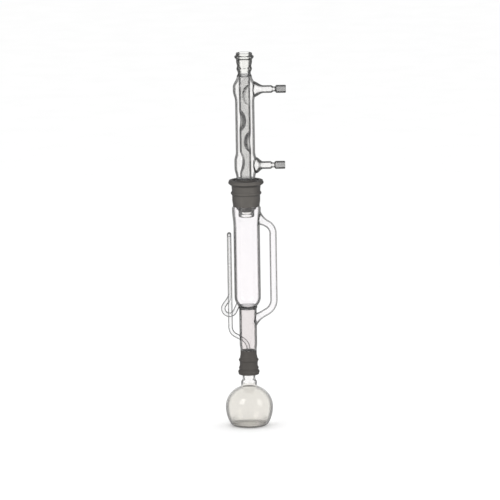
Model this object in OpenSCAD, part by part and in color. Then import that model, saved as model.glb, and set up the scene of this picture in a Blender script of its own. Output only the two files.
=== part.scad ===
// Extraction apparatus: flat-bottomed flask, siphon extractor and jacketed condenser.
// Millimetres, +Z up, origin at the centre of the flask's flat base, hose nozzles towards +X.
// Each loose glass item is a row of tubes and ground joints fused end to end.

/* [Glass] */
// Wall of the flask, the chamber, the stem and the jacket
wall = 2; // [1.8:0.1:2.2]
// Wall of the inner tube, the vapour tube and the hose nozzles
tube_wall = 1.5; // [1.3:0.1:1.6]
// Wall of the siphon and the drip tube
siphon_wall = 1; // [0.8:0.1:1.2]
// Radial clearance between a ground cone and its socket
joint_gap = 0.04; // [0.02:0.01:0.1]

/* [Flask] */
// Outer diameter of the bulb
bulb_d = 85; // [84:1:88]
// Height of the bulb's widest circle
bulb_z = 34.5; // [34:0.5:36]
// Outer radius of the short neck on the bulb
neck_r = 14.2; // [14:0.1:14.6]
// Outer radius of the waist below the cone
waist_r = 11.3; // [11:0.1:12]

/* [Extractor] */
// Height of the lower joint: the wide end of the flask's cone
low_joint_z = 98; // [98:0.5:99]
// Outer radius of the stem
stem_r = 15.8; // [15.5:0.1:16]
// Outer radius of the extraction chamber
chamber_r = 23.75; // [23.5:0.25:24]
// Height of the centre of the chamber's round bottom
chamber_z = 236; // [235:0.5:237]
// Outer diameter of the vapour side tube
vapour_d = 13; // [12.5:0.5:13.5]
// Distance of the vapour tube from the axis
vapour_x = 47.2; // [46:0.2:48]
// Outer diameter of the siphon tube
siphon_d = 8; // [7.6:0.2:8]
// Distance of the siphon's upright legs from the axis
siphon_x = 32.4; // [32:0.2:33]
// Angle of each siphon leg from the -X direction
siphon_a = 11; // [11:0.5:12]
// Height of the centre of the bend at the siphon's top
siphon_z = 344; // [300:1:350]

/* [Condenser] */
// Height of the upper joint: the wide end of the condenser's cone
high_joint_z = 446; // [445:1:447]
// Outer radius of the water jacket between its two swollen ends
jacket_r = 17.3; // [17:0.1:17.6]
// Outer radius of the inner condensing tube
inner_r = 10.2; // [10:0.1:10.4]
// Depth of each dent in the inner tube
dent_depth = 7; // [5:0.5:7.5]
// Outer radius of a hose nozzle's barrel
barrel_r = 7.2; // [7:0.1:7.5]

/* [Hidden] */
$fn = 96;
bend_step = 12;                 // turn between the stations of a bend

// Standard 1:10 taper joints: widest radius and ground length
low_cone = [14.6, 32];
high_cone = [22.5, 40];
top_bore = [12, 29];
taper = 1 / 20;                 // change of radius per length

// Flask: a fuller belly arc below the widest circle, a tighter shoulder arc above it
belly_r = 60;
heel_r = 9;
shoulder_r = 38;
fillet_r = 4;
belly_c = bulb_d / 2 - belly_r;
heel_a = -asin((bulb_z - heel_r) / (belly_r - heel_r));
heel_c = belly_c + (belly_r - heel_r) * cos(heel_a);
shoulder_c = bulb_d / 2 - shoulder_r;
fillet_c = neck_r + fillet_r;
fillet_a = acos((fillet_c - shoulder_c) / (shoulder_r + fillet_r));
fillet_z = bulb_z + (shoulder_r + fillet_r) * sin(fillet_a);

// Extractor heights
low_cone_top_z = low_joint_z + low_cone[1];
socket_foot_z = low_joint_z - 4.3;
stem_foot_z = 138;
seal_z = 213.5;
chamber_top_z = 402;
high_cone_foot_z = high_joint_z - high_cone[1];
rim_z = high_joint_z + 3;

// Condenser heights
ring_z = high_joint_z + 4.5;
jacket_z = ring_z + 2.5;
jacket_top_z = 637.5;
neck_z = 642.5;
lip_z = 680;
tip_z = 382;
tip_r = 14.25;
tip_top_z = 392;
cone_wall = wall + 0.2;
bead_r = 2.2;                   // thick rounded rim of the drip tip
inlet_z = 475.5;
outlet_z = 613.5;
dent_r = 29;
dents = [[604, -50], [558, 210], [519, -35], [482, 190]];    // height and direction

// Points of an arc round c, from angle a0 to a1
function arc(c, r, a0, a1, n = 12) =
    [for (i = [0:n]) let (a = a0 + (a1 - a0) * i / n) [c[0] + r * cos(a), c[1] + r * sin(a)]];

// A blown outline through [radius, height] keys, level with the axis at each key
function blown(keys, n = 10) = concat([keys[0]], [
    for (k = [1:len(keys) - 1])
        let (a = keys[k - 1], b = keys[k], m = a[0] == b[0] ? 1 : n)
            for (i = [1:m]) let (t = i / m, s = (1 - cos(180 * t)) / 2)
                [a[0] + (b[0] - a[0]) * s, a[1] + (b[1] - a[1]) * t]
]);

// The outline moved inwards by t, square to itself and never past the axis. An upright end stays level
function inset(p, t) = [
    for (i = [0:len(p) - 1])
        let (
            d = p[min(i + 1, len(p) - 1)] - p[max(i - 1, 0)],
            level = (i == 0 || i == len(p) - 1) && abs(d[1]) > abs(d[0]),
            q = p[i] + (level ? [-t, 0] : t / norm(d) * [-d[1], d[0]])
        ) [max(q[0], 0), q[1]]
];

function flip(p) = [for (i = [len(p) - 1:-1:0]) p[i]];

// A turned wall between an outer and an inner outline
module turned(outer, inner) rotate_extrude() polygon(concat(outer, flip(inner)));

// A turned shell of even wall
module shell(outer, t) turned(outer, inset(outer, t));

// Everything inside an outline
module filled(outer) rotate_extrude()
    polygon(concat([[0, outer[0][1]]], outer, [[0, outer[len(outer) - 1][1]]]));

// Stations [x, z, heading, radius] of a path in the XZ plane. Each step is [length, bend radius,
// bend angle, radius at its end], and a heading of 0 is up and of 90 is towards +X
function route(steps, at, i = 0) = i == len(steps) ? [at] : let (
    s = steps[i], a = at[2], side = sign(s[2]), n = ceil(abs(s[2]) / bend_step),
    x = at[0] + s[0] * sin(a), z = at[1] + s[0] * cos(a),
    cx = x + side * s[1] * cos(a), cz = z - side * s[1] * sin(a),
    bend = [for (k = [0:n]) let (h = a + (n > 0 ? s[2] * k / n : 0))
        n > 0 ? [cx - side * s[1] * cos(h), cz + side * s[1] * sin(h), h, s[3]] : [x, z, a, s[3]]]
) concat(
    s[0] > 0 ? [at] : [],
    [for (k = [0:1:n - 1]) bend[k]],
    route(steps, bend[n], i + 1)
);

function ring(at, r, sides) = [
    for (k = [0:sides - 1]) let (a = 360 * k / sides, u = r * cos(a))
        [at[0] + u * cos(at[2]), r * sin(a), at[1] - u * sin(at[2])]
];

// A tube with a wall of t along the stations
module tube(stations, t, sides) {
    n = len(stations);
    points = [for (d = [0, t]) for (at = stations) each ring(at, at[3] - d, sides)];
    function at(layer, i, k) = (layer * n + i) * sides + k % sides;
    outside = [for (i = [0:n - 2]) for (k = [0:sides - 1])
        [at(0, i, k), at(0, i + 1, k), at(0, i + 1, k + 1), at(0, i, k + 1)]];
    inside = [for (i = [0:n - 2]) for (k = [0:sides - 1])
        [at(1, i, k), at(1, i, k + 1), at(1, i + 1, k + 1), at(1, i + 1, k)]];
    start = [for (k = [0:sides - 1]) [at(0, 0, k), at(0, 0, k + 1), at(1, 0, k + 1), at(1, 0, k)]];
    end = [for (k = [0:sides - 1])
        [at(0, n - 1, k), at(1, n - 1, k), at(1, n - 1, k + 1), at(0, n - 1, k + 1)]];
    polyhedron(points, concat(outside, inside, start, end));
}

// A straight bore of radius r from a station, running back and on by h
module bore(at, r, h) translate([at[0], 0, at[1]]) rotate([0, at[2], 0])
    cylinder(r = r, h = 2 * h, center = true);

// ---- outlines ----

bulb_outline = concat(
    [[0, 0]],
    arc([heel_c, heel_r], heel_r, -90, heel_a, 8),
    arc([belly_c, bulb_z], belly_r, heel_a, 0, 10),
    arc([shoulder_c, bulb_z], shoulder_r, 0, fillet_a, 18),
    arc([fillet_c, fillet_z], fillet_r, fillet_a + 180, 180, 6),
    [[neck_r, fillet_z + 1]]
);
neck_outline = blown([
    [neck_r, fillet_z + 1], [neck_r, 79.5], [waist_r, 86], [waist_r, 88.5], [low_cone[0], low_joint_z]
]);
stem_outline = blown([[14.7, stem_foot_z], [stem_r, 150], [stem_r, seal_z]]);
chamber_outline = concat(
    arc([0, chamber_z], chamber_r, -90, 0, 18),
    blown([[chamber_r, 364], [25.9, 395], [25.9, 398], [24, chamber_top_z]])
);
jacket_outline = blown([
    [17, jacket_z], [20.2, 471], [20.2, 484], [jacket_r, 500], [jacket_r, 592],
    [21, 611], [21, 618], [13.6, jacket_top_z]
]);

// Wide base, arm, waist and barrel of a hose nozzle, as [radius, distance from the axis] points
function nozzle_outline(base_r, base_x, x) = blown([
    [base_r, 12], [base_r, base_x], [6.9, x], [6.9, x + 13], [4.5, x + 17.5], [4.5, x + 19.5],
    [barrel_r, x + 22.5], [barrel_r, x + 38]
]);
inlet_outline = nozzle_outline(14.5, 19, 31.5);
outlet_outline = nozzle_outline(15, 14.5, 34.7);

// The steps of a trumpet end of length h, from a tube of radius r out to radius wide
function trumpet(r, wide, h, n = 6) =
    [for (i = [1:n]) [h / n, 0, 0, r + (wide - r) * pow(i / n, 2)]];

// Vapour tube: out of the stem's side, up past the chamber and in below the upper socket
vapour_r = vapour_d / 2;
foot_bend_r = 25;
foot_wide = 14.5;
foot_flare = trumpet(vapour_r, foot_wide, 22);
vapour_foot = [vapour_x - foot_bend_r / 2 - 31.8 * cos(30), 192.1, 60, foot_wide];
vapour_route = route([
    for (i = [4:-1:0]) [foot_flare[i][0], 0, 0, foot_flare[i][3]],
    [foot_flare[0][0], 0, 0, vapour_r],
    [9.8, foot_bend_r, -60, vapour_r], [121.4, 20, -60, vapour_r], [2, 0, 0, vapour_r],
    each trumpet(vapour_r, 18, 24)
], vapour_foot);

// Siphon, each half in the upright plane of its leg: +X outwards
siphon_r = siphon_d / 2;
intake_bend_z = 239.9;
leg_bend_z = 182;
siphon_top = [siphon_x, siphon_z, 180, siphon_r];
intake_route = route([
    [siphon_z - intake_bend_z, 16, -35, siphon_r], [13.8, 11.2, 190, siphon_r],
    [17.1, 0, 0, siphon_r]
], siphon_top);
leg_route = route([
    [siphon_z - leg_bend_z, 18, 60, siphon_r], [11, 0, 0, siphon_r]
], siphon_top);
drip_route = route([
    [2.77, 24, -60, 3.5], [139 - 104, 0, 0, 3.5]
], [14.4, 161.2, 240, 3.5]);

// ---- flask ----

module flask_bulb() color("aliceblue") shell(bulb_outline, wall);
module flask_neck() color("aliceblue") shell(neck_outline, wall);
module flask_cone() color("dimgray") {
    top_r = low_cone[0] - low_cone[1] * taper;
    shell([
        [low_cone[0], low_joint_z], [low_cone[0] - taper, low_joint_z + 1],
        [top_r + taper, low_cone_top_z - 1], [top_r, low_cone_top_z]
    ], wall);
}

// ---- extractor ----

module lower_socket() color("dimgray") turned(
    concat(
        arc([17.2, socket_foot_z + 1.2], 1.2, -90, 0, 4),
        blown([
            [18.4, socket_foot_z + 1.2], [19.4, 99.5], [17.2, 103], [17.8, 105.5], [16.2, 111],
            [16.2, 116], [17.9, 120.5], [15.6, 125], [14.7, 131], [14.7, stem_foot_z]
        ], 8)
    ),
    [
        [15.6, socket_foot_z], [15.2, socket_foot_z + 1],
        [low_cone[0] + joint_gap + 0.05, low_joint_z - 1],
        [low_cone[0] + joint_gap - low_cone[1] * taper, low_cone_top_z],
        [12.7, low_cone_top_z + 2], [12.7, stem_foot_z]
    ]
);

module stem() color("aliceblue") difference() {
    shell(stem_outline, wall);
    bore(vapour_route[0], vapour_r, 16);
    plane(1) bore(leg_route[len(leg_route) - 1], siphon_r - siphon_wall, 8);
}

// The ring that seals the stem to the chamber's round bottom
module stem_seal() color("lightslategray") difference() {
    turned(
        blown([[stem_r, seal_z], [17.2, 217], [16.6, 221]]),
        [[stem_r - wall, seal_z], [stem_r - wall, 221]]
    );
    filled(chamber_outline);
    plane(-1) bore(intake_route[len(intake_route) - 1], siphon_r + 0.1, 20);
}

module chamber() color("aliceblue") difference() {
    shell(chamber_outline, wall);
    bore(vapour_route[len(vapour_route) - 1], vapour_r + 2, 18);
    plane(-1) bore(intake_route[len(intake_route) - 1], siphon_r - siphon_wall, 8);
}

module upper_socket() color("dimgray") turned(
    concat(
        blown([
            [24, chamber_top_z], [25.2, 414], [25.2, 421], [27.6, 425.5], [25.6, 430],
            [26.1, 438], [31.8, 444]
        ], 8),
        arc([29.8, 445], 2, 0, 90, 6), arc([29.8, 445.5], rim_z - 445.5, 90, 91, 1)
    ),
    [
        [24 - wall, chamber_top_z], [21.2, chamber_top_z + 2],
        [high_cone[0] + joint_gap - high_cone[1] * taper, high_cone_foot_z],
        [high_cone[0] + joint_gap, high_joint_z], [23.6, rim_z]
    ]
);

module vapour_tube() color("aliceblue") difference() {
    tube(vapour_route, tube_wall, 24);
    filled(stem_outline);
    filled(chamber_outline);
}

// The upright plane of a siphon leg: 1 in front (-Y), -1 behind (+Y), with +X outwards
module plane(front) rotate([0, 0, 180 + front * siphon_a]) children();

// From the chamber's bottom, out and down, round a loop and back to the upright
module siphon_intake() color("lightsteelblue") difference() {
    plane(-1) tube(intake_route, siphon_wall, 16);
    filled(chamber_outline);
}

// The half turn that joins the two legs
module siphon_bend() color("lightsteelblue") {
    bend_r = siphon_x * sin(siphon_a);
    translate([-siphon_x * cos(siphon_a), 0, siphon_z]) rotate([90, 0, 90])
        rotate_extrude(angle = 180) translate([bend_r, 0]) difference() {
            circle(r = siphon_r);
            circle(r = siphon_r - siphon_wall);
        }
}

// Down from the bend and in to the stem's wall
module siphon_leg() color("lightsteelblue") difference() {
    plane(1) tube(leg_route, siphon_wall, 16);
    filled(stem_outline);
}

// Inside the stem: from its wall to the axis, and down through the lower joint
module drip_tube() color("lightsteelblue") intersection() {
    plane(1) tube(drip_route, siphon_wall, 16);
    cylinder(r = stem_r - wall, h = seal_z);
}

// ---- condenser ----

module condenser_cone() color("dimgray") {
    foot_r = high_cone[0] - high_cone[1] * taper;
    shell(concat(
        blown([[tip_r, tip_top_z], [foot_r - 0.2, high_cone_foot_z - 4.5]]),
        [[foot_r, high_cone_foot_z]],
        [[high_cone[0], high_joint_z]],
        blown([[high_cone[0] - 0.1, high_joint_z + 0.5], [17, ring_z]])
    ), cone_wall);
}

module drip_tip() color("aliceblue") {
    bead_c = [tip_r - bead_r, tip_z + bead_r];
    turned(
        concat(arc(bead_c, bead_r, -90, 0, 6), [[tip_r, tip_top_z]]),
        concat(arc(bead_c, bead_r, -90, -180, 6), [[tip_r - cone_wall, tip_z + 7.5], [tip_r - cone_wall, tip_top_z]])
    );
}

module lower_ring_seal() color("lightslategray") turned(
    [[17, ring_z], [17, jacket_z]],
    [[inner_r - tube_wall, ring_z], [inner_r - tube_wall, jacket_z]]
);

module jacket() color("aliceblue") difference() {
    shell(jacket_outline, wall);
    nozzle_way(inlet_z, inlet_outline);
    nozzle_way(outlet_z, outlet_outline);
}

// The inner tube's body with its dents, thinned by t
module dented(t) difference() {
    translate([0, 0, jacket_z]) cylinder(r = inner_r - t, h = jacket_top_z - jacket_z);
    for (d = dents) rotate([0, 0, d[1]])
        translate([inner_r - dent_depth + dent_r, 0, d[0]]) sphere(r = dent_r + t);
}

module inner_tube() color("silver") difference() {
    dented(0);
    dented(tube_wall);
}

module upper_ring_seal() color("lightslategray") turned(
    blown([[13.6, jacket_top_z], [11.6, neck_z]]),
    [[inner_r - tube_wall, jacket_top_z], [inner_r - tube_wall, neck_z]]
);

// Turns its child from +Z to a nozzle's axis along +X at height z
module sideways(z) translate([0, 0, z]) rotate([0, 90, 0]) children();

// The water's way through a nozzle, out past its end
module nozzle_way(z, outline) sideways(z) filled(concat(
    inset(outline, tube_wall), [[barrel_r - tube_wall, outline[len(outline) - 1][1] + 4]]
));

module nozzle(z, outline) difference() {
    sideways(z) filled(concat(
        outline, arc([barrel_r - 1.5, outline[len(outline) - 1][1]], 1.5, 15, 75, 4)
    ));
    nozzle_way(z, outline);
    filled(jacket_outline);
}

module water_inlet() color("aliceblue") nozzle(inlet_z, inlet_outline);
module water_outlet() color("aliceblue") nozzle(outlet_z, outlet_outline);

module top_socket() color("aliceblue") turned(
    concat(
        blown([
            [11.6, neck_z], [11.6, 643.5], [14, 651.5], [12.9, 655.5], [14.3, 664], [14.3, 667],
            [17.4, 672.5], [17.4, 673.5], [14.6, 676.5]
        ], 8),
        arc([13.6, lip_z - 1], 1, 0, 90, 4)
    ),
    [
        [inner_r - tube_wall, neck_z], [inner_r - tube_wall, 646],
        [top_bore[0] - top_bore[1] * taper, lip_z - top_bore[1]], [top_bore[0], lip_z]
    ]
);

flask_bulb();
flask_neck();
flask_cone();
lower_socket();
stem();
stem_seal();
chamber();
upper_socket();
vapour_tube();
siphon_intake();
siphon_bend();
siphon_leg();
drip_tube();
condenser_cone();
drip_tip();
lower_ring_seal();
jacket();
inner_tube();
upper_ring_seal();
water_inlet();
water_outlet();
top_socket();
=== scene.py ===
"""Looks of a siphon extraction apparatus in clear and ground glass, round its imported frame."""
import math

import bmesh
import bpy
from mathutils import Matrix, Vector


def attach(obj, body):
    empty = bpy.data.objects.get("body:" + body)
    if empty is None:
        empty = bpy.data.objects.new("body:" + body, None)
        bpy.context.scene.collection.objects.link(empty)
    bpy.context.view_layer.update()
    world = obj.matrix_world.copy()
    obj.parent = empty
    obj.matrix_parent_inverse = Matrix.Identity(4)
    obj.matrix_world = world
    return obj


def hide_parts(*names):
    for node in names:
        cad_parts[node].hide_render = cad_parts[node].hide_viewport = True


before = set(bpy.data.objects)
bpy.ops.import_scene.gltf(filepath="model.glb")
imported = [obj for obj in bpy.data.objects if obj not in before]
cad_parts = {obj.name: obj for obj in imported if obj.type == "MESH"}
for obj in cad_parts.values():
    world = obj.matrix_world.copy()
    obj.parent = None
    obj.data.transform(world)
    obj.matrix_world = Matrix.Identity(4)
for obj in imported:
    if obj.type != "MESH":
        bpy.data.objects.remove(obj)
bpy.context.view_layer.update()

MM = 0.001
TURNS = 144                      # segments round a turned piece
CUTTER_SIDES = 96                # segments round a turned cutter
TUBE_SIDES = 56                  # segments round a wide bent tube
SIPHON_SIDES = 40                # segments round a siphon tube
CURVED_STEPS = 20                # points from one key of a blown outline to the next
STRAIGHT_STEPS = 4               # the same where its radius doesn't change
SEAM = 0.02                      # mm drawn back at a fused end, so that no faces coincide
SHARP_ANGLE = 38                 # degrees between two faces whose edge stays sharp
MERGE = 1e-7                     # metres within which two points become one
ON_AXIS = 1e-6                   # mm within which a point lies on the axis

# ---- outlines, in mm as (radius, height) ----


def arc(centre, r, start, end, n=24):
    """Points of an arc round a centre, from angle start to end in degrees."""
    angles = [math.radians(start + (end - start) * i / n) for i in range(n + 1)]
    return [(centre[0] + r * math.cos(a), centre[1] + r * math.sin(a)) for a in angles]


def blown(keys):
    """A blown outline through its keys, level with the axis at each key."""
    points = [keys[0]]
    for (r0, z0), (r1, z1) in zip(keys, keys[1:]):
        steps = STRAIGHT_STEPS if r0 == r1 else CURVED_STEPS
        for i in range(1, steps + 1):
            t = i / steps
            s = (1 - math.cos(math.pi * t)) / 2
            points.append((r0 + (r1 - r0) * s, z0 + (z1 - z0) * t))
    return points


def inset(points, t):
    """The outline moved inwards by t, square to itself and never past the axis."""
    moved = []
    last = len(points) - 1
    for i, (r, z) in enumerate(points):
        before = points[max(i - 1, 0)]
        after = points[min(i + 1, last)]
        dr = after[0] - before[0]
        dz = after[1] - before[1]
        length = math.hypot(dr, dz)
        if i in (0, last) and abs(dz) > abs(dr):
            moved.append((max(r - t, 0), z))
        else:
            moved.append((max(r - t * dz / length, 0), z + t * dr / length))
    return moved


def seamed(outline, start, end):
    """The outline with its fused ends drawn back by a seam."""
    out = list(outline)
    if start:
        out[0] = (out[0][0], out[0][1] + SEAM)
    if end:
        out[-1] = (out[-1][0], out[-1][1] - SEAM)
    return out


# ---- meshes ----


def finish_mesh(name, bm, place=None):
    """A smooth mesh object from bm, moved to its place, with its faces turned outwards."""
    if place is not None:
        bmesh.ops.transform(bm, matrix=place, verts=bm.verts)
    bmesh.ops.remove_doubles(bm, verts=bm.verts, dist=MERGE)
    bmesh.ops.recalc_face_normals(bm, faces=bm.faces)
    if bm.calc_volume(signed=True) < 0:
        bmesh.ops.reverse_faces(bm, faces=bm.faces)
    mesh = bpy.data.meshes.new(name)
    bm.to_mesh(mesh)
    bm.free()
    piece = bpy.data.objects.new(name, mesh)
    bpy.context.scene.collection.objects.link(piece)
    smooth(piece)
    return piece


def smooth(piece):
    """Smooth shading, apart from the sharp edges."""
    for face in piece.data.polygons:
        face.use_smooth = True
    piece.data.set_sharp_from_angle(angle=math.radians(SHARP_ANGLE))


def skin(bm, rings, closed=True):
    """Faces from each ring to the next, and from the last to the first where closed."""
    for i in range(len(rings) if closed else len(rings) - 1):
        ring = rings[i]
        above = rings[(i + 1) % len(rings)]
        for k in range(len(ring)):
            j = (k + 1) % len(ring)
            corners = []
            for v in (ring[k], ring[j], above[j], above[k]):
                if v not in corners:
                    corners.append(v)
            if len(corners) > 2:
                bm.faces.new(corners)


def level_ring(bm, z, radii):
    """A level ring of points at height z, one for each radius."""
    ring = []
    for k, r in enumerate(radii):
        a = 2 * math.pi * k / len(radii)
        ring.append(bm.verts.new((r * math.cos(a) * MM, r * math.sin(a) * MM, z * MM)))
    return ring


def turned(name, loop, sides=TURNS):
    """A closed loop of (radius, height) points turned round Z."""
    bm = bmesh.new()
    rings = []
    for r, z in loop:
        if r < ON_AXIS:
            rings.append([bm.verts.new((0, 0, z * MM))] * sides)
        else:
            rings.append(level_ring(bm, z, [r] * sides))
    skin(bm, rings)
    return finish_mesh(name, bm)


def wall_of(name, outer, inner, start=True, end=True):
    """A turned wall between two outlines; start and end say which ends are fused."""
    return turned(name, seamed(outer, start, end) + seamed(inner, start, end)[::-1])


def shell(name, outer, t, start=True, end=True):
    """A turned wall of even thickness t inside an outline."""
    return wall_of(name, outer, inset(outer, t), start, end)


def filled(name, outer, grow=0.0):
    """Everything inside an outline, made larger by grow."""
    edge = inset(outer, -grow) if grow else list(outer)
    if edge[0][0] > 0:
        edge = [(0, edge[0][1])] + edge
    if edge[-1][0] > 0:
        edge = edge + [(0, edge[-1][1])]
    return turned(name, edge, CUTTER_SIDES)


def sideways(name, z, outline):
    """Everything inside an outline, turned to lie along +X at height z."""
    made = filled(name, outline)
    made.data.transform(Matrix.Translation((0, 0, z * MM)) @ Matrix.Rotation(math.pi / 2, 4, "Y"))
    return made


def cut(piece, tool, how="DIFFERENCE"):
    """Cuts the tool out of the piece, or with INTERSECT keeps only what is inside the tool."""
    change = piece.modifiers.new("cut", "BOOLEAN")
    change.operation = how
    change.solver = "EXACT"
    change.object = tool
    bpy.context.view_layer.update()
    graph = bpy.context.evaluated_depsgraph_get()
    mesh = bpy.data.meshes.new_from_object(piece.evaluated_get(graph))
    piece.modifiers.clear()
    old = piece.data
    piece.data = mesh
    bpy.data.meshes.remove(old)
    smooth(piece)
    bpy.data.objects.remove(tool)


# ---- bent tubes: stations are (x, z, heading, radius) in an upright plane ----


def route(steps, at, step_angle=3):
    """Stations along steps of (length, bend radius, bend angle, end radius). Heading 0 is up."""
    stations = []
    for length, bend_r, turn, end_r in steps:
        x0, z0, a, _ = at
        if length > 0:
            stations.append(at)
        x = x0 + length * math.sin(math.radians(a))
        z = z0 + length * math.cos(math.radians(a))
        n = math.ceil(abs(turn) / step_angle)
        if n == 0:
            at = (x, z, a, end_r)
            continue
        side = 1 if turn > 0 else -1
        cx = x + side * bend_r * math.cos(math.radians(a))
        cz = z - side * bend_r * math.sin(math.radians(a))
        for k in range(n + 1):
            h = a + turn * k / n
            c = math.cos(math.radians(h))
            s = math.sin(math.radians(h))
            at = (cx - side * bend_r * c, cz + side * bend_r * s, h, end_r)
            if k < n:
                stations.append(at)
    stations.append(at)
    return stations


def trumpet(r, wide, length, inwards=False, n=14):
    """Steps of a trumpet end, from radius r out to wide, or inwards from wide to r."""
    places = range(n - 1, -1, -1) if inwards else range(1, n + 1)
    return [(length / n, 0, 0, r + (wide - r) * (i / n) ** 2) for i in places]


def station_ring(bm, station, thinner, sides):
    """A ring of points square to the heading at a station, its radius smaller by thinner."""
    x, z, heading, r = station
    a = math.radians(heading)
    ring = []
    for k in range(sides):
        b = 2 * math.pi * k / sides
        u = (r - thinner) * math.cos(b)
        v = (r - thinner) * math.sin(b)
        ring.append(bm.verts.new(((x + u * math.cos(a)) * MM, v * MM, (z - u * math.sin(a)) * MM)))
    return ring


def tube(name, stations, t, place=None, sides=TUBE_SIDES):
    """A tube with a wall of t along the stations."""
    bm = bmesh.new()
    outside = [station_ring(bm, station, 0, sides) for station in stations]
    inside = [station_ring(bm, station, t, sides) for station in stations[::-1]]
    skin(bm, outside + inside)
    return finish_mesh(name, bm, place)


def rod(station, r, reach, place=None):
    """A round rod of radius r through a station, running back and on by reach."""
    x, z, heading, _ = station
    dx = reach * math.sin(math.radians(heading))
    dz = reach * math.cos(math.radians(heading))
    bm = bmesh.new()
    ends = [station_ring(bm, (x + way * dx, z + way * dz, heading, r), 0, TUBE_SIDES)
            for way in (-1, 1)]
    skin(bm, ends, closed=False)
    for ring in ends:
        bm.faces.new(ring)
    return finish_mesh("bore", bm, place)


# ---- shader nodes ----

RAMP_REACH = 100                 # mm from the origin that a ramp along an axis spans


def node(tree, kind, **inputs):
    """A new shader node with its inputs set by name, each space written as _."""
    made = tree.nodes.new(kind)
    for name, value in inputs.items():
        made.inputs[name.replace("_", " ")].default_value = value
    return made


def ramp(tree, source, stops):
    """A colour ramp of (place, grey or colour) stops on the source."""
    made = tree.nodes.new("ShaderNodeValToRGB")
    elements = made.color_ramp.elements
    for element, (place, value) in zip(elements, stops):
        element.position = place
        element.color = (value, value, value, 1) if isinstance(value, float) else (*value, 1)
    tree.links.new(source, made.inputs["Fac"])
    return made.outputs["Color"]


def noise(tree, scale, detail=3.0, stretch=(1, 1, 1)):
    """Noise on the object's own coordinates, in features per metre."""
    coords = tree.nodes.new("ShaderNodeTexCoord")
    mapping = tree.nodes.new("ShaderNodeMapping")
    mapping.inputs["Scale"].default_value = stretch
    texture = node(tree, "ShaderNodeTexNoise", Scale=scale, Detail=detail)
    tree.links.new(coords.outputs["Object"], mapping.inputs["Vector"])
    tree.links.new(mapping.outputs["Vector"], texture.inputs["Vector"])
    return texture.outputs["Fac"]


def bump(tree, height, strength, distance):
    """A normal raised by the height."""
    made = node(tree, "ShaderNodeBump", Strength=strength, Distance=distance)
    tree.links.new(height, made.inputs["Height"])
    return made.outputs["Normal"]


def math_node(tree, operation, a, b):
    """The result of an operation on two values, each a number or another node's output."""
    made = tree.nodes.new("ShaderNodeMath")
    made.operation = operation
    for socket, value in zip(made.inputs, (a, b)):
        if isinstance(value, float):
            socket.default_value = value
        else:
            tree.links.new(value, socket)
    return made.outputs[0]


def multiplied(tree, a, b):
    """The colour a multiplied by the colour b."""
    made = tree.nodes.new("ShaderNodeMix")
    made.data_type = "RGBA"
    made.blend_type = "MULTIPLY"
    made.inputs["Factor"].default_value = 1.0
    tree.links.new(a, made.inputs["A"])
    tree.links.new(b, made.inputs["B"])
    return made.outputs["Result"]


def component(tree, source, axis):
    """One component of the object's own coordinates or of its normal."""
    coords = tree.nodes.new("ShaderNodeTexCoord")
    parts = tree.nodes.new("ShaderNodeSeparateXYZ")
    tree.links.new(coords.outputs[source], parts.inputs[0])
    return parts.outputs[axis]


def along(tree, axis, stops):
    """Greys along one of the object's own axes, from (mm, grey) stops."""
    place = component(tree, "Object", axis)
    share = math_node(tree, "MULTIPLY", place, 1 / (RAMP_REACH * MM))
    return ramp(tree, share, [(at / RAMP_REACH, grey) for at, grey in stops])


# ---- materials ----

IOR = 1.47
CLOUDS = 55                      # features per metre of the faint clouding
WAVES = 38                       # features per metre of the waves that drawing leaves
GRAIN = 1500                     # features per metre of a ground face's grain
MOTTLE = 90                      # features per metre of its mottling
WAVE_STRENGTH = 0.15
GRAIN_STRENGTH = 0.5
WAVE_DEPTH = 0.001               # metres
GRAIN_DEPTH = 0.0003             # metres
PAINTED_RIM_SHARE = 0.93             # how much of the clear glass the painted dark rim, painted shade, covers
SHADOW = 0.9                     # how much lamplight passes through a face
HEEL_TOP = 15                    # mm above the base where the flask's heel ends, and with it the heel's painted shade
SHOULDER = (35, 62)              # mm above the base between which the flask's painted dark rim fades


def with_painted_heel_shade(tree, share, facing):
    """The flask's painted dark rim, painted shade made darker towards the base, fainter up the
    shoulder and left off the flat base.
    """
    low = along(tree, "Z", [(0, 1.0), (HEEL_TOP, 0.0)])
    level = math_node(tree, "ABSOLUTE", component(tree, "Normal", "Z"), 0.0)
    flat = math_node(tree, "MULTIPLY", low, ramp(tree, level, [(0.9, 0.0), (0.97, 1.0)]))
    not_flat = math_node(tree, "SUBTRACT", 1.0, flat)
    fade = along(tree, "Z", [(SHOULDER[0], 1.0), (SHOULDER[1], 0.55)])
    sides = math_node(tree, "MULTIPLY", share, fade)
    # Painted shade, darker low on the flask where the wall turns from the eye.
    heel = math_node(tree, "MULTIPLY", low, ramp(tree, facing, [(0.2, 0.0), (0.5, 0.75)]))
    return math_node(tree, "MULTIPLY", math_node(tree, "MAXIMUM", sides, heel), not_flat)


def with_clear_shadow(tree, seen):
    """The shader seen, which lamplight passes through."""
    let_through = node(tree, "ShaderNodeBsdfTransparent", Color=(SHADOW, SHADOW, SHADOW, 1))
    path = tree.nodes.new("ShaderNodeLightPath")
    both = tree.nodes.new("ShaderNodeMixShader")
    tree.links.new(path.outputs["Is Shadow Ray"], both.inputs[0])
    tree.links.new(seen, both.inputs[1])
    tree.links.new(let_through.outputs[0], both.inputs[2])
    return both.outputs[0]


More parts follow.
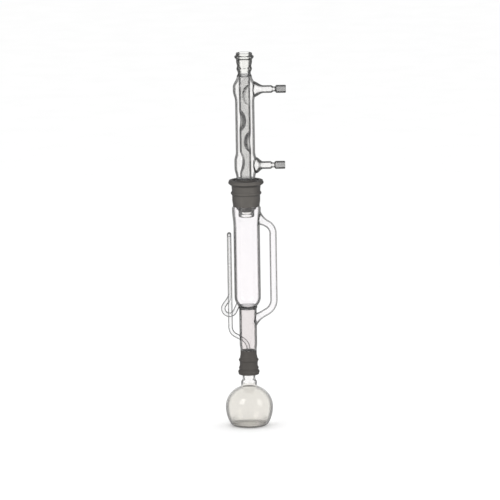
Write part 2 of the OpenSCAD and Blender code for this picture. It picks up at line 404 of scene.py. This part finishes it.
def clear_glass(name, tint, edge, dark=0.09, paint_heel_shade=False, barrel_shade=None):
    """Drawn glass: clear where it faces the eye, with painted shade laid on as a dark rim towards
    its outline.

    tint is the clear glass's colour and dark is the grey of the painted dark rim.
    edge holds the two turns of the wall, as 1 - cosine, between which the painted rim darkens it.
    The last argument holds two distances in mm along X, between which the tint greys as painted
    shade on a nozzle's barrel, and the grey.
    """
    material = bpy.data.materials.new(name)
    material.use_nodes = True
    tree = material.node_tree
    tree.nodes.clear()
    body = node(tree, "ShaderNodeBsdfPrincipled", Transmission_Weight=1.0, IOR=IOR)
    cloud = noise(tree, CLOUDS, 2.0, (1, 1, 0.35))
    clouded = tuple(c * 0.985 for c in tint)
    colour = ramp(tree, cloud, [(0.3, clouded), (0.7, tint)])
    # Painted shade: the tint greys along X over a nozzle's barrel.
    if barrel_shade:
        start, end, grey = barrel_shade
        colour = multiplied(tree, colour, along(tree, "X", [(start, 1.0), (end, grey)]))
    tree.links.new(colour, body.inputs["Base Color"])
    tree.links.new(ramp(tree, cloud, [(0.35, 0.0), (0.75, 0.035)]), body.inputs["Roughness"])
    drawn = noise(tree, WAVES, 2.0, (1, 1, 0.2))
    tree.links.new(bump(tree, drawn, WAVE_STRENGTH, WAVE_DEPTH), body.inputs["Normal"])
    # Painted shade: a dark grey mixed in where the wall turns from the eye, standing in for the
    # dark edge that refraction gives.
    outline = node(tree, "ShaderNodeBsdfPrincipled", Base_Color=(dark, dark, dark * 0.97, 1),
                   Roughness=0.35, Specular_IOR_Level=0.12)
    facing = node(tree, "ShaderNodeLayerWeight", Blend=0.5).outputs["Facing"]
    share = ramp(tree, facing, [(edge[0], 0.0), (edge[1], PAINTED_RIM_SHARE)])
    if paint_heel_shade:
        share = with_painted_heel_shade(tree, share, facing)
    seen = tree.nodes.new("ShaderNodeMixShader")
    tree.links.new(share, seen.inputs[0])
    tree.links.new(body.outputs[0], seen.inputs[1])
    tree.links.new(outline.outputs[0], seen.inputs[2])
    out = tree.nodes.new("ShaderNodeOutputMaterial")
    tree.links.new(with_clear_shadow(tree, seen.outputs[0]), out.inputs["Surface"])
    return material


def ground_glass(name, face, side):
    """Ground glass: a fine even grain, dull and dark, with painted shade that leaves it a little
    lighter where it faces the eye and darker at its sides.
    """
    material = bpy.data.materials.new(name)
    material.use_nodes = True
    tree = material.node_tree
    body = tree.nodes["Principled BSDF"]
    body.inputs["Specular IOR Level"].default_value = 0.15
    facing = node(tree, "ShaderNodeLayerWeight", Blend=0.5).outputs["Facing"]
    # Painted shade: face is the grey where the glass faces the eye, side the darker grey where it
    # turns away.
    shade = ramp(tree, facing, [(0.1, face), (0.6, side)])
    mottle = ramp(tree, noise(tree, MOTTLE, 3.0, (1, 1, 0.5)), [(0.3, 0.86), (0.7, 1.0)])
    tree.links.new(multiplied(tree, shade, mottle), body.inputs["Base Color"])
    grain = noise(tree, GRAIN, 4.0)
    tree.links.new(ramp(tree, grain, [(0.3, 0.5), (0.7, 0.75)]), body.inputs["Roughness"])
    tree.links.new(bump(tree, grain, GRAIN_STRENGTH, GRAIN_DEPTH), body.inputs["Normal"])
    return material


LARGE = clear_glass("chamber_glass", (0.975, 0.96, 0.968), (0.42, 0.62))
# The flask glass gets painted shade at its heel.
FLASK = clear_glass("flask_glass", (0.87, 0.855, 0.825), (0.5, 0.8), paint_heel_shade=True)
STEM = clear_glass("stem_glass", (0.878, 0.852, 0.85), (0.34, 0.56))
VAPOUR = clear_glass("vapour_tube_glass", (0.97, 0.963, 0.968), (0.32, 0.54))
JACKET = clear_glass("jacket_glass", (0.965, 0.96, 0.955), (0.39, 0.59), dark=0.07)
SMALL = clear_glass("siphon_glass", (0.95, 0.95, 0.95), (0.24, 0.52), dark=0.1)
INNER = clear_glass("inner_tube_glass", (0.8, 0.8, 0.792), (0.26, 0.46), dark=0.012)
# The nozzle glass greys over its barrel, painted shade.
NOZZLE = clear_glass("nozzle_glass", (0.96, 0.955, 0.95), (0.22, 0.4), dark=0.045,
                     barrel_shade=(52, 56, 0.64))
SOCKET = clear_glass("socket_glass", (0.94, 0.94, 0.92), (0.2, 0.4), dark=0.035)
FUSED = clear_glass("fused_glass", (0.62, 0.62, 0.62), (0.25, 0.5), dark=0.03)
# The second grey of each ground glass is its painted shade at the sides.
GROUND = ground_glass("ground_glass", (0.12, 0.112, 0.103), (0.054, 0.05, 0.048))
LOWER_GROUND = ground_glass("lower_ground_glass", (0.083, 0.076, 0.07), (0.052, 0.047, 0.044))


def piece_of(made, cad_node, body, material):
    """Gives a piece its material and body, in place of its CAD node."""
    made.data.materials.clear()
    made.data.materials.append(material)
    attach(made, body)
    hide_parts(cad_node)


# ---- sizes, in mm ----

WALL = 2
TUBE_WALL = 1.5
SIPHON_WALL = 1
GAP = 0.04                       # between a ground cone and its socket
SLACK = 0.1                      # round the siphon where it passes the seal
TAPER = 1 / 20                   # how fast a ground cone's radius falls with its height

BULB_R = 42.5
BULB_Z = 34.5
NECK_R = 14.2
WAIST_R = 11.3
BELLY_R = 60
HEEL_R = 9
SHOULDER_R = 38
FILLET_R = 4

LOW_JOINT_Z = 98
LOW_CONE = (14.6, 32)            # wide radius and length of the ground part
LOW_CONE_TOP_Z = LOW_JOINT_Z + LOW_CONE[1]
LOW_CONE_TOP_R = LOW_CONE[0] - LOW_CONE[1] * TAPER
SOCKET_FOOT_Z = LOW_JOINT_Z - 4.3
STEM_FOOT_Z = 138
STEM_R = 15.8
SEAL_Z = 213.5
SEAL_TOP_Z = 221
CHAMBER_R = 23.75
CHAMBER_Z = 236
CHAMBER_TOP_Z = 402

VAPOUR_R = 6.5
VAPOUR_X = 47.2
VAPOUR_TILT = 60                 # degrees from upright of its two slanted ends
VAPOUR_RISE = 121.4
FOOT_Z = 192.1
FOOT_WIDE = 14.5
FOOT_FLARE = 22
FOOT_STRAIGHT = 9.8
FOOT_BEND_R = 25
HEAD_WIDE = 18
HEAD_HOLE_R = 8.5                # the hole through the chamber's wall
HEAD_FLARE = 24
HEAD_STRAIGHT = 2
HEAD_BEND_R = 20

SIPHON_R = 4
SIPHON_X = 32.4
SIPHON_A = 11                    # degrees between each leg and the plane of the side tube
SIPHON_Z = 344
INTAKE_BEND_Z = 239.9
INTAKE_BEND_R = 16
INTAKE_LEAN = 35
INTAKE_SLOPE = 13.8
LOOP_R = 11.2
LOOP_TURN = 190
INTAKE_END = 17.1
LEG_BEND_Z = 182
LEG_BEND_R = 18
LEG_TURN = 60
LEG_END = 11
DRIP_R = 3.5
DRIP_X = 14.4
DRIP_Z = 161.2
DRIP_START = 2.77
DRIP_BEND_R = 24
DRIP_FALL = 35

HIGH_JOINT_Z = 446
HIGH_CONE = (22.5, 40)
CONE_FOOT_Z = HIGH_JOINT_Z - HIGH_CONE[1]
CONE_FOOT_R = HIGH_CONE[0] - HIGH_CONE[1] * TAPER
RIM_Z = HIGH_JOINT_Z + 3
RING_Z = HIGH_JOINT_Z + 4.5
JACKET_Z = RING_Z + 2.5
JACKET_R = 17.3
JACKET_FOOT_R = 17
JACKET_TOP_R = 13.6
JACKET_TOP_Z = 637.5
NECK_Z = 642.5
LIP_Z = 680
INNER_R = 10.2
BORE_R = INNER_R - TUBE_WALL
DENT_R = 29
DENT_DEPTH = 7
DENT_BLEND = 1.2                 # how far a dent's edge is rounded
DENTS = [(604, -50), (558, 210), (519, -35), (482, 190)]     # height and direction
TIP_Z = 382
TIP_R = 14.25
TIP_TOP_Z = 392
CONE_WALL = 2.2
TIP_BORE_R = TIP_R - CONE_WALL
BEAD_R = 2.2
INLET_Z = 475.5
OUTLET_Z = 613.5
BARREL_R = 7.2
BARREL_ROUND = 1.5
TOP_BORE_R = 12
TOP_CONE = 29                    # length of the top socket's taper

# ---- outlines and routes ----

belly_c = BULB_R - BELLY_R
heel_a = -math.degrees(math.asin((BULB_Z - HEEL_R) / (BELLY_R - HEEL_R)))
heel_c = belly_c + (BELLY_R - HEEL_R) * math.cos(math.radians(heel_a))
shoulder_c = BULB_R - SHOULDER_R
fillet_c = NECK_R + FILLET_R
fillet_a = math.degrees(math.acos((fillet_c - shoulder_c) / (SHOULDER_R + FILLET_R)))
fillet_z = BULB_Z + (SHOULDER_R + FILLET_R) * math.sin(math.radians(fillet_a))

bulb_outline = (
    [(0, 0)]
    + arc((heel_c, HEEL_R), HEEL_R, -90, heel_a, 20)
    + arc((belly_c, BULB_Z), BELLY_R, heel_a, 0, 24)[1:]
    + arc((shoulder_c, BULB_Z), SHOULDER_R, 0, fillet_a, 40)[1:]
    + arc((fillet_c, fillet_z), FILLET_R, fillet_a + 180, 180, 12)[1:]
    + [(NECK_R, fillet_z + 1)]
)
neck_outline = blown([
    (NECK_R, fillet_z + 1), (NECK_R, 79.5), (WAIST_R, 86), (WAIST_R, 88.5),
    (LOW_CONE[0], LOW_JOINT_Z),
])
low_cone_outline = [
    (LOW_CONE[0], LOW_JOINT_Z), (LOW_CONE[0] - TAPER, LOW_JOINT_Z + 1),
    (LOW_CONE_TOP_R + TAPER, LOW_CONE_TOP_Z - 1), (LOW_CONE_TOP_R, LOW_CONE_TOP_Z),
]
low_socket_outline = arc((17.2, SOCKET_FOOT_Z + 1.2), 1.2, -90, 0, 8) + blown([
    (18.4, SOCKET_FOOT_Z + 1.2), (19.4, 99.5), (17.2, 103), (17.8, 105.5), (16.2, 111),
    (16.2, 116), (17.9, 120.5), (15.6, 125), (14.7, 131), (14.7, STEM_FOOT_Z),
])[1:]
low_socket_bore = [
    (15.6, SOCKET_FOOT_Z), (15.2, SOCKET_FOOT_Z + 1),
    (LOW_CONE[0] + GAP + TAPER, LOW_JOINT_Z - 1), (LOW_CONE_TOP_R + GAP, LOW_CONE_TOP_Z),
    (12.7, LOW_CONE_TOP_Z + 2), (12.7, STEM_FOOT_Z),
]
stem_outline = blown([(14.7, STEM_FOOT_Z), (STEM_R, 150), (STEM_R, SEAL_Z)])
chamber_outline = arc((0, CHAMBER_Z), CHAMBER_R, -90, 0, 40) + blown([
    (CHAMBER_R, 364), (25.9, 395), (25.9, 398), (24, CHAMBER_TOP_Z),
])
high_socket_outline = blown([
    (24, CHAMBER_TOP_Z), (25.2, 414), (25.2, 421), (27.6, 425.5), (25.6, 430), (26.1, 438),
    (31.8, 444),
]) + arc((29.8, 445), 2, 0, 62, 10) + arc((29.3, 446.5), 2.5, 60, 90, 6)
high_socket_bore = [
    (24 - WALL, CHAMBER_TOP_Z), (21.2, CHAMBER_TOP_Z + 2), (CONE_FOOT_R + GAP, CONE_FOOT_Z),
    (HIGH_CONE[0] + GAP, HIGH_JOINT_Z), (23.6, RIM_Z),
]
high_cone_outline = (
    blown([(TIP_R, TIP_TOP_Z), (CONE_FOOT_R - 0.2, CONE_FOOT_Z - 4.5)])
    + [(CONE_FOOT_R, CONE_FOOT_Z), (HIGH_CONE[0], HIGH_JOINT_Z)]
    + blown([(HIGH_CONE[0] - 0.1, HIGH_JOINT_Z + 0.5), (JACKET_FOOT_R, RING_Z)])
)
bead_c = (TIP_R - BEAD_R, TIP_Z + BEAD_R)
tip_outline = arc(bead_c, BEAD_R, -90, 0, 14) + [(TIP_R, TIP_TOP_Z)]
tip_bore = arc(bead_c, BEAD_R, -90, -180, 14)[1:] + [
    (TIP_BORE_R, TIP_Z + 7.5), (TIP_BORE_R, TIP_TOP_Z),
]
jacket_outline = blown([
    (JACKET_FOOT_R, JACKET_Z), (20.2, 471), (20.2, 484), (JACKET_R, 500), (JACKET_R, 592),
    (21, 611), (21, 618), (JACKET_TOP_R, JACKET_TOP_Z),
])
top_socket_outline = blown([
    (11.6, NECK_Z), (11.6, 643.5), (14, 651.5), (12.9, 655.5), (14.3, 664), (14.3, 667),
    (17.4, 672.5), (17.4, 673.5), (14.6, 676.5),
]) + arc((13.6, LIP_Z - 1), 1, 0, 90, 8)
top_socket_bore = [
    (BORE_R, NECK_Z), (BORE_R, 646), (TOP_BORE_R - TOP_CONE * TAPER, LIP_Z - TOP_CONE),
    (TOP_BORE_R, LIP_Z),
]


def nozzle_outline(base_r, base_x, x):
    """Wide base, arm, waist and barrel of a hose nozzle, as (radius, distance) points."""
    return blown([
        (base_r, 12), (base_r, base_x), (6.9, x), (6.9, x + 13), (4.5, x + 17.5), (4.5, x + 19.5),
        (BARREL_R, x + 22.5), (BARREL_R, x + 38),
    ])


foot_length = FOOT_FLARE + FOOT_STRAIGHT
foot_x = VAPOUR_X - FOOT_BEND_R / 2 - foot_length * math.sin(math.radians(VAPOUR_TILT))
vapour_route = route(
    trumpet(VAPOUR_R, FOOT_WIDE, FOOT_FLARE, inwards=True)
    + [(FOOT_STRAIGHT, FOOT_BEND_R, -VAPOUR_TILT, VAPOUR_R),
       (VAPOUR_RISE, HEAD_BEND_R, -VAPOUR_TILT, VAPOUR_R),
       (HEAD_STRAIGHT, 0, 0, VAPOUR_R)]
    + trumpet(VAPOUR_R, HEAD_WIDE, HEAD_FLARE),
    (foot_x, FOOT_Z, VAPOUR_TILT, FOOT_WIDE),
)
siphon_top = (SIPHON_X, SIPHON_Z - SEAM, 180, SIPHON_R)
intake_route = route([
    (SIPHON_Z - INTAKE_BEND_Z, INTAKE_BEND_R, -INTAKE_LEAN, SIPHON_R),
    (INTAKE_SLOPE, LOOP_R, LOOP_TURN, SIPHON_R),
    (INTAKE_END, 0, 0, SIPHON_R),
], siphon_top)
leg_route = route([
    (SIPHON_Z - LEG_BEND_Z, LEG_BEND_R, LEG_TURN, SIPHON_R),
    (LEG_END, 0, 0, SIPHON_R),
], siphon_top)
drip_route = route([
    (DRIP_START, DRIP_BEND_R, -LEG_TURN, DRIP_R),
    (DRIP_FALL, 0, 0, DRIP_R),
], (DRIP_X, DRIP_Z, 180 + LEG_TURN, DRIP_R))
half_gap = SIPHON_X * math.sin(math.radians(SIPHON_A))
siphon_x = SIPHON_X * math.cos(math.radians(SIPHON_A))
over_route = route([(0, half_gap, -180, SIPHON_R)], (half_gap, 0, 0, SIPHON_R), 6)
front_plane = Matrix.Rotation(math.radians(180 + SIPHON_A), 4, "Z")
rear_plane = Matrix.Rotation(math.radians(180 - SIPHON_A), 4, "Z")
top_plane = Matrix.Translation((-siphon_x * MM, 0, SIPHON_Z * MM))
top_plane = top_plane @ Matrix.Rotation(math.pi / 2, 4, "Z")

# ---- flask ----

piece_of(shell("bulb", bulb_outline, WALL, False), "flask_bulb", "flask", FLASK)
piece_of(shell("short_neck", neck_outline, WALL), "flask_neck", "flask", JACKET)
piece_of(shell("lower_ground_cone", low_cone_outline, WALL, True, False),
         "flask_cone", "flask", LOWER_GROUND)

# ---- extractor ----

piece_of(wall_of("lower_ground_socket", low_socket_outline, low_socket_bore, False),
         "lower_socket", "extractor", LOWER_GROUND)

stem = shell("stem_tube", stem_outline, WALL)
cut(stem, rod(vapour_route[0], VAPOUR_R, reach=16))
cut(stem, rod(leg_route[-1], SIPHON_R - SIPHON_WALL, reach=8, place=front_plane))
piece_of(stem, "stem", "extractor", STEM)

seal = wall_of("stem_ring", blown([(STEM_R, SEAL_Z), (17.2, 217), (16.6, SEAL_TOP_Z)]),
               [(STEM_R - WALL, SEAL_Z), (STEM_R - WALL, SEAL_TOP_Z)])
cut(seal, filled("core", chamber_outline, SEAM))
cut(seal, rod(intake_route[-1], SIPHON_R + SLACK, reach=20, place=rear_plane))
piece_of(seal, "stem_seal", "extractor", FUSED)

chamber = shell("extraction_chamber", chamber_outline, WALL, False)
cut(chamber, rod(vapour_route[-1], HEAD_HOLE_R, reach=18))
cut(chamber, rod(intake_route[-1], SIPHON_R - SIPHON_WALL, reach=8, place=rear_plane))
piece_of(chamber, "chamber", "extractor", LARGE)

piece_of(wall_of("upper_ground_socket", high_socket_outline, high_socket_bore, True, False),
         "upper_socket", "extractor", GROUND)

vapour = tube("vapour_side_tube", vapour_route, TUBE_WALL)
cut(vapour, filled("core", stem_outline, SEAM))
cut(vapour, filled("core", chamber_outline, SEAM))
piece_of(vapour, "vapour_tube", "extractor", VAPOUR)

intake = tube("siphon_rising_tube", intake_route, SIPHON_WALL, rear_plane, SIPHON_SIDES)
cut(intake, filled("core", chamber_outline, SEAM))
piece_of(intake, "siphon_intake", "extractor", SMALL)

over = tube("siphon_top_bend", over_route, SIPHON_WALL, top_plane, SIPHON_SIDES)
piece_of(over, "siphon_bend", "extractor", SMALL)

leg = tube("siphon_falling_tube", leg_route, SIPHON_WALL, front_plane, SIPHON_SIDES)
cut(leg, filled("core", stem_outline, SEAM))
piece_of(leg, "siphon_leg", "extractor", SMALL)

stem_bore_r = STEM_R - WALL - SEAM
drip = tube("drip_pipe", drip_route, SIPHON_WALL, front_plane, SIPHON_SIDES)
cut(drip, filled("core", [(stem_bore_r, 0), (stem_bore_r, SEAL_Z)]), "INTERSECT")
piece_of(drip, "drip_tube", "extractor", SMALL)

# ---- condenser ----

piece_of(shell("upper_ground_cone", high_cone_outline, CONE_WALL),
         "condenser_cone", "condenser", GROUND)
piece_of(wall_of("drip_rim", tip_outline, tip_bore, False),
         "drip_tip", "condenser", SOCKET)
piece_of(wall_of("lower_jacket_ring", [(JACKET_FOOT_R, RING_Z), (JACKET_FOOT_R, JACKET_Z)],
                 [(BORE_R, RING_Z), (BORE_R, JACKET_Z)]),
         "lower_ring_seal", "condenser", FUSED)


def nozzle_way(z, outline):
    """The water's way through a nozzle, out past its end."""
    end = (BARREL_R - TUBE_WALL, outline[-1][1] + 4)
    return sideways("way", z, inset(outline, TUBE_WALL) + [end])


inlet_outline = nozzle_outline(14.5, 19, 31.5)
outlet_outline = nozzle_outline(15, 14.5, 34.7)
jacket = shell("water_jacket", jacket_outline, WALL)
cut(jacket, nozzle_way(INLET_Z, inlet_outline))
cut(jacket, nozzle_way(OUTLET_Z, outlet_outline))
piece_of(jacket, "jacket", "condenser", JACKET)

for name, cad_node, z, outline in (
    ("water_inlet_nozzle", "water_inlet", INLET_Z, inlet_outline),
    ("water_outlet_nozzle", "water_outlet", OUTLET_Z, outlet_outline),
):
    end_round = arc((BARREL_R - BARREL_ROUND, outline[-1][1]), BARREL_ROUND, 15, 75, 8)
    nozzle = sideways(name, z, outline + end_round)
    cut(nozzle, nozzle_way(z, outline))
    cut(nozzle, filled("core", jacket_outline, SEAM))
    piece_of(nozzle, cad_node, "condenser", NOZZLE)


def soft_least(a, b, k):
    """The smaller of two lengths, rounded over k where they cross."""
    h = max(k - abs(a - b), 0) / k
    return min(a, b) - h * h * k / 4


def dented_radius(angle, z, t):
    """Radius of the dented tube's wall, thinned by t, in a direction and at a height."""
    r = INNER_R - t
    centre = INNER_R - DENT_DEPTH + DENT_R
    for height, direction in DENTS:
        ahead = centre * math.cos(angle - math.radians(direction))
        room = ahead ** 2 - centre ** 2 - (z - height) ** 2 + (DENT_R + t) ** 2
        if ahead > 0 and room > 0:
            r = soft_least(r, ahead - math.sqrt(room), DENT_BLEND)
    return r


def dented_tube(name, rows=260):
    """The inner tube with its dents, as two fine skins joined at the ends."""
    bm = bmesh.new()
    low = JACKET_Z + SEAM
    high = JACKET_TOP_Z - SEAM
    angles = [2 * math.pi * k / TURNS for k in range(TURNS)]
    rings = []
    for t, order in ((0, range(rows + 1)), (TUBE_WALL, range(rows, -1, -1))):
        for i in order:
            z = low + (high - low) * i / rows
            rings.append(level_ring(bm, z, [dented_radius(a, z, t) for a in angles]))
    skin(bm, rings)
    return finish_mesh(name, bm)


piece_of(dented_tube("dented_inner_tube"), "inner_tube", "condenser", INNER)
piece_of(wall_of("upper_jacket_ring", blown([(JACKET_TOP_R, JACKET_TOP_Z), (11.6, NECK_Z)]),
                 [(BORE_R, JACKET_TOP_Z), (BORE_R, NECK_Z)]),
         "upper_ring_seal", "condenser", FUSED)
piece_of(wall_of("top_clear_socket", top_socket_outline, top_socket_bore, True, False),
         "top_socket", "condenser", SOCKET)

# ---- floor, light and camera, in metres ----

FLOOR_HALF = 30
FLOOR_DROP = 0.0002              # below the flask's base, so that the two don't coincide
WORLD_LIGHT = 1.05
ELEVATION = math.radians(10)
ROLL = math.radians(0.89)
DISTANCE = 12.5
LENS = 500
AIM = Vector((0.0054, 0, 0.321))

floor_mesh = bmesh.new()
bmesh.ops.create_grid(floor_mesh, x_segments=1, y_segments=1, size=FLOOR_HALF)
floor = finish_mesh("floor", floor_mesh)
floor.location = (0, 0, -FLOOR_DROP)
paper = bpy.data.materials.new("paper")
paper.use_nodes = True
paper_tree = paper.node_tree
sheet = paper_tree.nodes["Principled BSDF"]
sheet.inputs["Roughness"].default_value = 0.9
sheet.inputs["Specular IOR Level"].default_value = 0.0
white = ramp(paper_tree, noise(paper_tree, 12, 4.0), [(0.3, 0.93), (0.7, 0.95)])
paper_tree.links.new(white, sheet.inputs["Base Color"])
floor.data.materials.append(paper)

world = bpy.data.worlds.new("studio")
world.use_nodes = True
studio = world.node_tree.nodes["Background"]
studio.inputs["Color"].default_value = (1, 1, 1, 1)
studio.inputs["Strength"].default_value = WORLD_LIGHT
scene = bpy.context.scene
scene.world = world


def softbox(name, place, aim, size, power):
    """A soft rectangular lamp at a place, turned to its aim."""
    light = bpy.data.lights.new(name, "AREA")
    light.shape = "RECTANGLE"
    light.size, light.size_y = size
    light.energy = power
    lamp = bpy.data.objects.new(name, light)
    lamp.location = place
    lamp.rotation_mode = "QUATERNION"
    lamp.rotation_quaternion = (Vector(aim) - Vector(place)).to_track_quat("-Z", "Y")
    scene.collection.objects.link(lamp)


softbox("key", (-1.6, -1.8, 1.8), (0, 0, 0.3), (1.2, 1.6), 14)
softbox("fill", (2.0, -1.2, 1.2), (0, 0, 0.35), (1.0, 1.6), 7)

back = Vector((0, -math.cos(ELEVATION), math.sin(ELEVATION)))
level = Vector((1, 0, 0))
upward = back.cross(level)
right = level * math.cos(ROLL) - upward * math.sin(ROLL)
up = level * math.sin(ROLL) + upward * math.cos(ROLL)
eye = bpy.data.cameras.new("camera")
eye.lens = LENS
eye.sensor_width = 36
eye.clip_end = 200
camera = bpy.data.objects.new("camera", eye)
scene.collection.objects.link(camera)
camera.rotation_mode = "QUATERNION"
camera.rotation_quaternion = Matrix((right, up, back)).transposed().to_quaternion()
camera.location = AIM + back * DISTANCE
scene.camera = camera

scene.view_settings.view_transform = "Standard"
scene.cycles.max_bounces = 32
scene.cycles.transmission_bounces = 32
scene.cycles.transparent_max_bounces = 32

bpy.context.view_layer.update()
